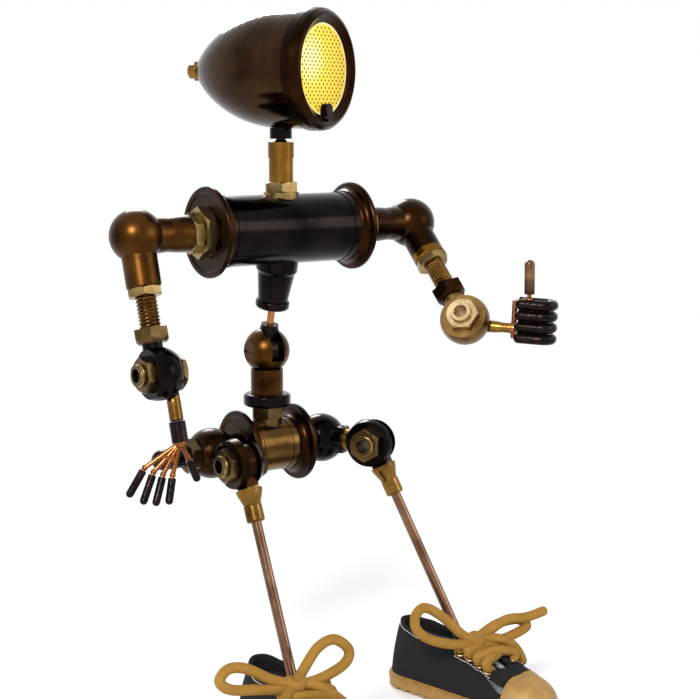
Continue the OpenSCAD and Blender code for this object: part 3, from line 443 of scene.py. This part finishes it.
studio = {
    "cameraPlace": (-0.43248, -0.60828, 0.292), "pitch": 81.6, "heading": -36.0, "lens": 81.0,
    "worldStrength": 0.60,
    "floorZ": -0.6, "floorColour": (0.93, 0.93, 0.93), "whiteFrom": 0.28, "whiteTo": 0.75,
    "lights": [  # name, place, aim, size, power
        ("keyLight", (-0.80, -0.60, 0.80), (0, 0, 0.22), 0.36, 13),
        ("fillLight", (0.75, -0.9, 0.55), (0, 0, 0.2), 0.6, 3),
        ("rimLight", (0.35, 0.9, 0.8), (0, 0, 0.25), 0.4, 5),
    ],
}


def addCamera():
    camera = bpy.data.objects.new("camera", bpy.data.cameras.new("camera"))
    bpy.context.scene.collection.objects.link(camera)
    camera.data.lens = studio["lens"]
    camera.data.sensor_width = 36
    camera.data.clip_start = 0.01
    camera.location = studio["cameraPlace"]
    camera.rotation_euler = (math.radians(studio["pitch"]), 0, math.radians(studio["heading"]))
    bpy.context.scene.camera = camera


def addLights():
    for name, place, goal, size, power in studio["lights"]:
        lamp = bpy.data.lights.new(name, "AREA")
        lamp.shape = "DISK"
        lamp.size = size
        lamp.energy = power
        item = bpy.data.objects.new(name, lamp)
        bpy.context.scene.collection.objects.link(item)
        item.location = place
        item.rotation_euler = (Vector(goal) - Vector(place)).to_track_quat("-Z", "Y").to_euler()


def addWorld():  # white where it is seen or mirrored, softer as a light
    world = bpy.data.worlds.new("studioWorld")
    bpy.context.scene.world = world
    sky = Nodes(world)
    path = sky.add("ShaderNodeLightPath", {}, {}).outputs
    seen = Shade(sky, path["Is Camera Ray"])
    for ray in ("Is Transmission Ray", "Is Glossy Ray"):
        seen = seen.math("MAXIMUM", Shade(sky, path[ray]))
    white = sky.add("ShaderNodeBackground", {}, {0: (1, 1, 1, 1)})
    soft = sky.add("ShaderNodeBackground", {}, {0: (1, 1, 1, 1), 1: studio["worldStrength"]})
    blend = sky.add("ShaderNodeMixShader", {}, {0: seen, 1: soft.outputs[0], 2: white.outputs[0]})
    sky.add("ShaderNodeOutputWorld", {}, {0: blend.outputs[0]})


def addFloor():  # pale under the lamp, so that its shadow shows, and plain white further out
    bpy.ops.object.select_all(action="DESELECT")
    bpy.ops.mesh.primitive_plane_add(size=12, location=(0, 0, studio["floorZ"] * mm))
    floor = bpy.context.object
    floor.name = "floor"
    graph = Graph("floorWhite")
    x, y, z = graph.axes(graph.place)
    far = (x * x + y * y).math("SQRT").band(studio["whiteFrom"], studio["whiteTo"])
    material = graph.finish(studio["floorColour"], 0.9, 0.0)
    plain = graph.add("ShaderNodeEmission", {}, {"Color": (1, 1, 1, 1), "Strength": 1.0})
    blend = graph.add("ShaderNodeMixShader", {}, {0: far, 1: graph.shader.outputs[0], 2: plain.outputs[0]})
    graph.plug(graph.output.inputs[0], blend.outputs[0])
    floor.data.materials.append(material)


addCamera()
addLights()
addWorld()
addFloor()
bpy.context.scene.view_settings.view_transform = "Standard"
print("studio done")


def pick(*items):  # selects only these, with the first one active
    bpy.ops.object.select_all(action="DESELECT")
    for item in items:
        item.select_set(True)
    bpy.context.view_layer.objects.active = items[0]


def cleanUp(item, distance=0.00001):
    pick(item)
    bpy.ops.object.mode_set(mode="EDIT")
    bpy.ops.mesh.select_all(action="SELECT")
    bpy.ops.mesh.remove_doubles(threshold=distance)
    bpy.ops.mesh.normals_make_consistent(inside=False)
    bpy.ops.object.mode_set(mode="OBJECT")


def shapedGrid(name, across, along, place, uvSize=(1, 1)):  # place(u, v) gives a point in metres
    bpy.ops.object.select_all(action="DESELECT")
    bpy.ops.mesh.primitive_grid_add(x_subdivisions=across, y_subdivisions=along, size=1)
    item = bpy.context.object
    item.name = name
    item.data.name = name
    layer = item.data.uv_layers[0]
    for loop in layer.data:
        loop.uv = (loop.uv[0] * uvSize[0], loop.uv[1] * uvSize[1])
    for vertex in item.data.vertices:
        vertex.co = place(vertex.co.x + 0.5, vertex.co.y + 0.5)
    return item


def smoothed(item, angle):
    pick(item)
    bpy.ops.object.shade_smooth_by_angle(angle=math.radians(angle))
    return item


def modified(item, kind, **settings):
    pick(item)
    modifier = item.modifiers.new(kind.lower(), kind)
    for key, value in settings.items():
        setattr(modifier, key, value)
    bpy.ops.object.modifier_apply(modifier=modifier.name)
    return item


def settle(item, place, body, material, replaced=()):
    item.data.transform(place)
    paint(item, material)
    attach(item, body)
    if replaced:
        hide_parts(*replaced)
    return item


def joined(name, items):
    pick(*items)
    bpy.ops.object.join()
    whole = bpy.context.object
    whole.name = name
    whole.data.name = name
    return whole


def spacedEvenly(dense, count):  # points at even steps along a line, and its length
    lengths = [0.0]
    for p, q in zip(dense, dense[1:]):
        lengths.append(lengths[-1] + (q - p).length)
    line = []
    j = 0
    for i in range(count):
        goal = lengths[-1] * i / (count - 1)
        while j < len(lengths) - 2 and lengths[j + 1] < goal:
            j += 1
        step = lengths[j + 1] - lengths[j]
        line.append(dense[j].lerp(dense[j + 1], (goal - lengths[j]) / step if step else 0))
    return line, lengths[-1]


def curveThrough(points, count):  # smooth line through the points, evenly spaced
    pts = [Vector(p) for p in points]
    pts = [2 * pts[0] - pts[1]] + pts + [2 * pts[-1] - pts[-2]]
    fine = []
    for i in range(1, len(pts) - 2):
        a, b, c, d = pts[i - 1:i + 3]
        for k in range(24):
            t = k / 24
            fine.append(0.5 * (2 * b + (c - a) * t + (2 * a - 5 * b + 4 * c - d) * t * t
                               + (3 * b - a - 3 * c + d) * t * t * t))
    fine.append(pts[-2])
    return spacedEvenly(fine, count)


def tube(name, points, radius, sides=14, spacing=0.6):  # round ends, points and radius in mm
    length = sum((Vector(q) - Vector(p)).length for p, q in zip(points, points[1:]))
    rings = max(8, int(length / spacing))
    line, length = curveThrough(points, rings + 1)
    tangents = [(line[min(i + 1, rings)] - line[max(i - 1, 0)]).normalized() for i in range(rings + 1)]
    side = tangents[0].orthogonal().normalized()
    frames = []
    for tangent in tangents:
        side = (side - tangent * side.dot(tangent)).normalized()
        frames.append((side.copy(), tangent.cross(side)))

    def place(u, v):
        i = round(v * rings)
        a, b = frames[i]
        angle = 2 * math.pi * u
        size = radius
        away = min(i, rings - i) * length / rings
        if away < radius:
            size = radius * math.sqrt(max(0.0, 1 - (1 - away / radius) ** 2))
        return (line[i] + size * (math.cos(angle) * a + math.sin(angle) * b)) * mm

    item = shapedGrid(name, sides, rings, place, (1, length * mm))
    cleanUp(item)
    return smoothed(item, 80)


def thread(name, low, high, crest, root, bore, pitch, sides=48, slices=5):  # slices: rings in one pitch
    rings = int((high - low) / pitch * slices)
    ridge = [(low + (high - low) * i / rings, None) for i in range(rings + 1)]
    outer = [(low, bore)] + ridge + [(high, bore)]

    def place(u, v):
        i = round(v * len(outer))
        z, r = outer[i % len(outer)]
        angle = 2 * math.pi * u
        if r is None:
            phase = (z / pitch + u) % 1.0
            tooth = min(1.0, max(0.0, 1.6 * (1 - abs(2 * phase - 1)) - 0.3))
            end = min(1.0, min(z - low, high - z) / (0.5 * pitch))
            r = root + (crest - root) * tooth * end
        return Vector((r * math.cos(angle), r * math.sin(angle), z)) * mm

    item = shapedGrid(name, sides, len(outer), place)
    cleanUp(item)
    return smoothed(item, 30)


threadSizes = {  # from, to, crest, root and bore radius, pitch
    "arm": (-49.9, -14.5, 5.0, 4.35, 3.3, 1.7),
    "pin": (9.05, 11.3, 5.3, 4.8, 4.4, 1.0),
}


def buildThreads():
    for side in ("right", "left"):
        item = thread(side + "ArmThread", *threadSizes["arm"])
        settle(item, armPlace(side), side + "_upper_arm", looks["brass"], [side + "_arm_nipple"])
    for joint, placeOf in (("Elbow", elbowPlace), ("Hip", hipPlace)):
        for side in ("right", "left"):
            item = thread(side + joint + "PinThread", *threadSizes["pin"])
            body = side + "_" + joint.lower()
            settle(item, placeOf(side) @ turn(-90, "Y"), body, looks["pale_brass"])


buildThreads()
print("threads done")


shoe = {  # millimetres from the shoe's own place, with the toe towards -Y
    "length": 98, "width": 36, "heelShare": 0.32, "soleTop": 7,
    "columns": 132, "rows": 18, "wall": 1.5, "gapTo": -38.0, "gapNarrow": 4.2,
    "openingFront": -10, "openingHalf": 17.6, "openingX": 16.0, "openingY": 24.0,
    "laceEnd": -40, "toeEnd": -66.6, "ankleMiddle": 7.0, "ankleX": 10.2, "ankleY": 19.8,
    "crest": [  # place along the shoe and height of the upper's top line
        (-66, 11.5), (-60, 15.5), (-50, 18.0), (-44, 19.4), (-38, 21.6), (-30, 24.6), (-20, 28.2),
        (-13, 30.2), (-4, 29.0), (8, 29.2), (18, 31.0), (27, 33.0), (34, 33.0),
    ],
}


def soleOutline(count):  # the line round three circles: heel, ball and toe
    length, width = shoe["length"], shoe["width"]
    heel, ball, toe = width * 0.4, width * 0.5, width * 0.42
    toeY = -length * (1 - shoe["heelShare"]) + toe
    circles = [(0, length * shoe["heelShare"] - heel, heel), (1, toeY + toe * 0.62, ball), (0.4, toeY, toe)]
    dense = []
    for step in range(721):
        angle = math.radians(-90 + step * 0.5)
        n = Vector((math.cos(angle), math.sin(angle)))
        best = max(circles, key=lambda c: c[0] * n.x + c[1] * n.y + c[2])
        dense.append(Vector((best[0], best[1])) + best[2] * n)
    return spacedEvenly(dense, count + 1)[0]


outline = soleOutline(shoe["columns"])


def crestHeight(y):
    stops = shoe["crest"]
    for (y0, z0), (y1, z1) in zip(stops, stops[1:]):
        if y <= y1:
            t = min(1, max(0, (y - y0) / (y1 - y0)))
            return z0 + (z1 - z0) * t * t * (3 - 2 * t)
    return stops[-1][1]


def topPoint(base):  # where the panel above this point of the sole ends: opening, lace gap or middle line
    x, y = base
    side = 1 if x >= 0.3 else -1
    front, laceEnd, middle = shoe["openingFront"], shoe["laceEnd"], shoe["ankleMiddle"]
    if y > front:
        angle = math.atan2((y - middle) / shoe["openingY"], x / shoe["openingX"])
        px, py = shoe["ankleX"] * math.cos(angle), middle + shoe["ankleY"] * math.sin(angle)
        return Vector((px, py, crestHeight(py)))
    if y > laceEnd:
        t = (y - front) / (laceEnd - front)
        start = math.atan2((front - middle) / shoe["openingY"], shoe["openingHalf"] / shoe["openingX"])
        fromY = middle + shoe["ankleY"] * math.sin(start)
        py = fromY + (shoe["gapTo"] - fromY) * t
        gap = shoe["ankleX"] * math.cos(start)
        px = gap + (shoe["gapNarrow"] - gap) * min(1, t * 1.5)
        return Vector((side * px, py, crestHeight(py)))
    t = (y - laceEnd) / (shoe["toeEnd"] - laceEnd)
    px = shoe["gapNarrow"] * max(0, 1 - t * 6)
    py = shoe["gapTo"] - 1.5 * min(1, t * 6) - max(0, t - 1 / 6) * 27
    return Vector((side * px, py, crestHeight(py)))


def upperPoint(u, v, grow=0.0):  # u once round the sole from the toe, v from the sole up
    i = u * shoe["columns"]
    low = int(min(i, shoe["columns"] - 1))
    flat = outline[low].lerp(outline[low + 1], i - low)
    top = topPoint(flat)
    base = Vector((flat.x * 0.985, flat.y * 0.992, shoe["soleTop"] - 0.6))
    ankle = min(1, max(0, (flat.y + 16) / 22))
    hold = 0.90 - 0.10 * ankle
    bend = Vector((base.x * hold + top.x * (1 - hold), base.y * hold + top.y * (1 - hold),
                   top.z * (1.0 - 0.28 * ankle) + 0.8))
    point = base * (1 - v) ** 2 + bend * (2 * v * (1 - v)) + top * v * v
    if grow:
        point += surfaceNormal(u, v, 0.01) * grow
    return point


def surfaceNormal(u, v, step=0.008):
    across = upperPoint(min(1, u + step), v) - upperPoint(max(0, u - step), v)
    rise = upperPoint(u, min(1, v + step)) - upperPoint(u, max(0, v - step))
    return across.cross(rise).normalized()


def findColumn(side, y):  # the place round the outline whose top point lies at y on that side
    columns = shoe["columns"]
    span = range(2, columns // 2) if side > 0 else range(columns // 2 + 1, columns - 2)
    return min(span, key=lambda k: abs(topPoint(outline[k]).y - y)) / columns


def upperShell(name):
    item = shapedGrid(name, shoe["columns"], shoe["rows"], lambda u, v: upperPoint(u, v) * mm, (0.22, 0.032))
    cleanUp(item, 0.00002)
    return item


def bisected(item, place, normal):  # keeps what lies behind the plane
    pick(item)
    bpy.ops.object.mode_set(mode="EDIT")
    bpy.ops.mesh.select_all(action="SELECT")
    bpy.ops.mesh.bisect(plane_co=place, plane_no=normal, clear_outer=True)
    bpy.ops.object.mode_set(mode="OBJECT")
    return item


stitch = {
    "radius": 0.26, "length": 0.95,
    "facingBack": -13.5, "facingHeight": 0.53, "facingStep": 1.5, "facingProud": 0.75,
    "collarFrom": -12, "collarHeight": 0.93, "collarStep": 1.7, "collarProud": 0.2,
}


def stitchRow(name, points):  # one short raised stitch at each point along a line
    parts = []
    for here, ahead, normal in points:
        bpy.ops.object.select_all(action="DESELECT")
        bpy.ops.mesh.primitive_cylinder_add(vertices=6, radius=stitch["radius"] * mm, depth=stitch["length"] * mm)
        item = bpy.context.object
        along = (ahead - here).normalized()
        spin = along.to_track_quat("Z", "Y").to_matrix().to_4x4()
        item.data.transform(Matrix.Translation((here + normal * 0.1) * mm) @ spin)
        item.location = (0, 0, 0)
        parts.append(item)
    return joined(name, parts)


def stitchesAlong(name, path, spacing, grow):  # path: list of (u, v) on the upper
    spots = [upperPoint(u, v) + surfaceNormal(u, v) * grow for u, v in path]
    normals = [surfaceNormal(u, v) for u, v in path]
    rows = []
    travelled = 0.0
    for i in range(len(spots) - 1):
        travelled += (spots[i + 1] - spots[i]).length
        if travelled >= spacing:
            travelled = 0.0
            rows.append((spots[i], spots[i + 1], normals[i]))
    return stitchRow(name, rows)


eyelets = {"height": 0.72, "radius": 2.75, "wire": 0.55, "flatness": 0.62, "rows": [-17.5, -23.5, -29.5, -35.5]}


def eyelet(side, y):
    u = findColumn(side, y)
    v = eyelets["height"]
    spot, normal = upperPoint(u, v), surfaceNormal(u, v)
    bpy.ops.object.select_all(action="DESELECT")
    bpy.ops.mesh.primitive_torus_add(major_segments=28, minor_segments=10,
                                     major_radius=eyelets["radius"] * mm, minor_radius=eyelets["wire"] * mm)
    item = bpy.context.object
    item.data.transform(Matrix.Diagonal((1, 1, eyelets["flatness"], 1)))
    spin = normal.to_track_quat("Z", "Y").to_matrix().to_4x4()
    item.data.transform(Matrix.Translation((spot + normal * 0.25) * mm) @ spin)
    item.location = (0, 0, 0)
    return item, spot + normal * 0.6  # the ring and the place where the lace goes through


def onShoe(item, side, material, replaced=()):
    return settle(item, shoePlace(side), side + "_leg", material, replaced)


def addUpper(side):
    upper = modified(upperShell(side + "ShoeUpper"), "SOLIDIFY", thickness=shoe["wall"] * mm, offset=-1)
    onShoe(smoothed(upper, 50), side, looks["canvas"], [side + "_shoe_upper"])


toeCap = {"edge": -47.0, "thick": 1.0, "rounding": 0.35}


def addToeCap(side):
    cap = bisected(upperShell(side + "ToeCap"), (0, toeCap["edge"] * mm, 0), (0, 1, 0))
    cap = modified(cap, "SOLIDIFY", thickness=toeCap["thick"] * mm, offset=0.95)
    cap = modified(cap, "BEVEL", width=toeCap["rounding"] * mm, segments=2, limit_method="ANGLE")
    onShoe(smoothed(cap, 40), side, looks["sole_rubber"])


facing = {"from": 0.50, "back": -14.5, "front": -38.2, "thick": 0.6, "proud": 0.25, "heelStrip": 0.036}


def addFacings(side):  # the bands under the eyelets and up the heel
    def stripOf(name, across, along, fromU, toU, fromV, uvSize):
        def place(u, v):
            return upperPoint(fromU + (toU - fromU) * u, fromV + (1 - fromV) * v, facing["proud"]) * mm
        strip = shapedGrid(name, across, along, place, uvSize)
        return modified(strip, "SOLIDIFY", thickness=facing["thick"] * mm, offset=0)

    strips = []
    for sign in (1, -1):
        first, last = findColumn(sign, facing["back"]), findColumn(sign, facing["front"])
        strips.append(stripOf("facing", 26, 6, last, first, facing["from"], (0.03, 0.01)))
    half = facing["heelStrip"] / 2
    strips.append(stripOf("heelStrip", 12, 14, 0.5 - half, 0.5 + half, 0.0, (0.008, 0.03)))
    whole = joined(side + "ShoeFacing", strips)
    cleanUp(whole)
    onShoe(smoothed(whole, 40), side, looks["canvas"])


binding = {"end": -37.5, "radius": 0.85}


def addBinding(side):
    columns = shoe["columns"]
    rim = [upperPoint(k / columns, 1.0) for k in range(columns + 1)
           if topPoint(outline[k % columns]).y > binding["end"]]
    collar = tube(side + "ShoeBinding", rim, binding["radius"], sides=10, spacing=1.0)
    onShoe(collar, side, looks["canvas"])


def addStitches(side):
    seams = []
    for sign in (1, -1):
        first, last = findColumn(sign, stitch["facingBack"]), findColumn(sign, facing["front"])
        path = [(first + (last - first) * k / 90, stitch["facingHeight"]) for k in range(91)]
        seams.append(stitchesAlong("facingSeam", path, stitch["facingStep"], stitch["facingProud"]))
    first, last = findColumn(1, stitch["collarFrom"]), findColumn(-1, stitch["collarFrom"])
    path = [(first + (last - first) * k / 400, stitch["collarHeight"]) for k in range(401)]
    seams.append(stitchesAlong("collarSeam", path, stitch["collarStep"], stitch["collarProud"]))
    onShoe(joined(side + "ShoeStitches", seams), side, threadLook)


tongue = {  # the line gives place along the shoe and height
    "line": [(-40, 19.0), (-33, 22.0), (-24, 25.0), (-18.5, 27.6), (-16.2, 31.0), (-14.6, 33.6)],
    "half": 3.4, "widening": 3.6, "corners": 1.2, "sag": 1.3, "thick": 1.6, "edge": 0.5,
}


def tonguePoint(u, v):
    line = tongue["line"]
    i = min(len(line) - 2, int(v * (len(line) - 1)))
    t = v * (len(line) - 1) - i
    y, z = (line[i][k] + (line[i + 1][k] - line[i][k]) * t for k in (0, 1))
    half = tongue["half"] + tongue["widening"] * min(1, v * 1.4) - tongue["corners"] * max(0, v - 0.93) / 0.07
    x = (u - 0.5) * 2
    return Vector((x * half, y - 0.8 * x * x * v, z - tongue["sag"] * x * x)) * mm


def addTongue(side):
    item = shapedGrid(side + "ShoeTongue", 14, 30, tonguePoint, (0.014, 0.04))
    item = modified(item, "SOLIDIFY", thickness=tongue["thick"] * mm, offset=-1)
    item = modified(item, "BEVEL", width=tongue["edge"] * mm, segments=2, limit_method="ANGLE")
    onShoe(smoothed(item, 60), side, liningLook, [side + "_shoe_tongue"])


def addEyelets(side):  # gives the places of the holes
    rings, holes = [], {}
    for sign in (1, -1):
        for row, y in enumerate(eyelets["rows"]):
            ring, holes[(sign, row)] = eyelet(sign, y)
            rings.append(ring)
    onShoe(smoothed(joined(side + "ShoeEyelets", rings), 60), side, eyeletLook)
    return holes


laceSizes = {
    "radius": 2.5, "lift": 3.2, "crossing": 1.9,
    "wrap": 1.02, "wrapHalf": 3.0, "wrapDepth": 3.4, "wrapHeight": 1.56, "wrapSlant": 2.2,
    "core": 1.25, "coreLine": [(-4.2, 0, -1.0), (0, -0.6, 0.6), (4.2, 0, -1.0)],
}


def crossingPoints(holes, sign, row, knot):  # from a hole to the knot, or over to the other side's next hole
    hole = holes[(sign, row)]
    points = [hole + Vector((-sign * 1.6, 0.3, -1.6)), hole + Vector((sign * 0.9, 0.8, 3.2))]
    if row == 0:
        goal = knot + Vector((-sign * 1.2, 0.5, -1.0))
        return points + [(points[1] + goal) * 0.5 + Vector((0, -1.5, 1.2)), goal]
    goal = holes[(-sign, row - 1)]
    mid = (hole + goal) * 0.5
    height = crestHeight(mid.y) + laceSizes["lift"] + (laceSizes["crossing"] if sign > 0 else 0)
    return points + [Vector((0, mid.y, height)), goal + Vector((sign * 1.2, -0.4, 3.4)),
                     goal + Vector((sign * 1.6, 0, -1.2))]


def addLaces(side, holes):
    bow, radius = bowShapes[side], laceSizes["radius"]
    knot = Vector(bow["knot"])
    strands = []
    for row in range(len(eyelets["rows"])):
        for sign in (1, -1):
            strands.append(tube("strand", crossingPoints(holes, sign, row, knot), radius))
    for sign in (1, -1):
        strands.append(tube("bowLoop", [knot + Vector(p) for p in bow["loop"][sign]], radius))
        strands.append(tube("bowEnd", [knot + Vector(p) for p in bow["end"][sign]], radius))
    wrap = []
    for k in range(13):
        a = k * math.pi / 6
        across, depth = laceSizes["wrapHalf"] * math.sin(a), laceSizes["wrapDepth"] * math.cos(a)
        rise = laceSizes["wrapHeight"] * math.cos(a) + laceSizes["wrapSlant"] * math.sin(a * 0.5)
        wrap.append(knot + Vector((across, depth - 0.4, rise + 0.3)))
    strands.append(tube("knotWrap", wrap, radius * laceSizes["wrap"]))
    core = [knot + Vector(p) for p in laceSizes["coreLine"]]
    strands.append(tube("knotCore", core, radius * laceSizes["core"]))
    laces = joined(side + "ShoeLaces", strands)
    onShoe(smoothed(laces, 80), side, looks["lace"], [side + "_shoe_laces"])


bowShapes = {  # points from the knot, -1 and 1 for the two sides
    "right": {
        "knot": (-5, -20, 33.6),
        "loop": {-1: [(0, 0, 0), (-12, 1, 5), (-24, 2, 12), (-33, 2, 13.5), (-38, 1, 9), (-33, 0, 4.5),
                      (-20, 0, 2), (-8, 0, 0), (0, 0, 0)],
                 1: [(0, 0, 0), (6, 1, 8), (13, 1, 16), (21, 0, 18.5), (28, -1, 12.5), (25, -2, 6.5),
                     (13, -1, 1.5), (0, 0, 0)]},
        "end": {-1: [(0, 0, 0), (-8, -6, -1.5), (-14, -11, -6), (-18, -14, -12), (-20, -16, -17)],
                1: [(0, 0, 0), (7, -4, 0.5), (14, -8, -3.5), (20, -11, -9), (23, -13, -14)]},
    },
    "left": {
        "knot": (-4, -22.5, 31.8),
        "loop": {-1: [(0, 0, 0), (-7, 3, 5), (-16, 8, 15), (-25, 12, 21), (-31, 13, 18), (-31, 12, 11),
                      (-24, 8, 5), (-12, 3, 1), (0, 0, 0)],
                 1: [(0, 0, 0), (6, -1, 3.5), (14, -4, 7), (23, -9, 8), (26, -13, 5), (19, -11, 2),
                     (9, -6, -0.5), (0, 0, 0)]},
        "end": {-1: [(0, 0, 0), (7, -6, 1.5), (14, -10, -1), (20, -12, -7), (24, -13, -15)],
                1: [(0, 0, 0), (8, -3, 4.5), (16, -8, 9.5), (25, -14, 10), (34, -20, 13)]},
    },
}
threadLook = stitchThread()
liningLook = paleLining()
eyeletLook = creamBrass
for side in ("right", "left"):
    addUpper(side)
    addToeCap(side)
    addFacings(side)
    addBinding(side)
    addStitches(side)
    addTongue(side)
    addLaces(side, addEyelets(side))
    print(side, "shoe done")
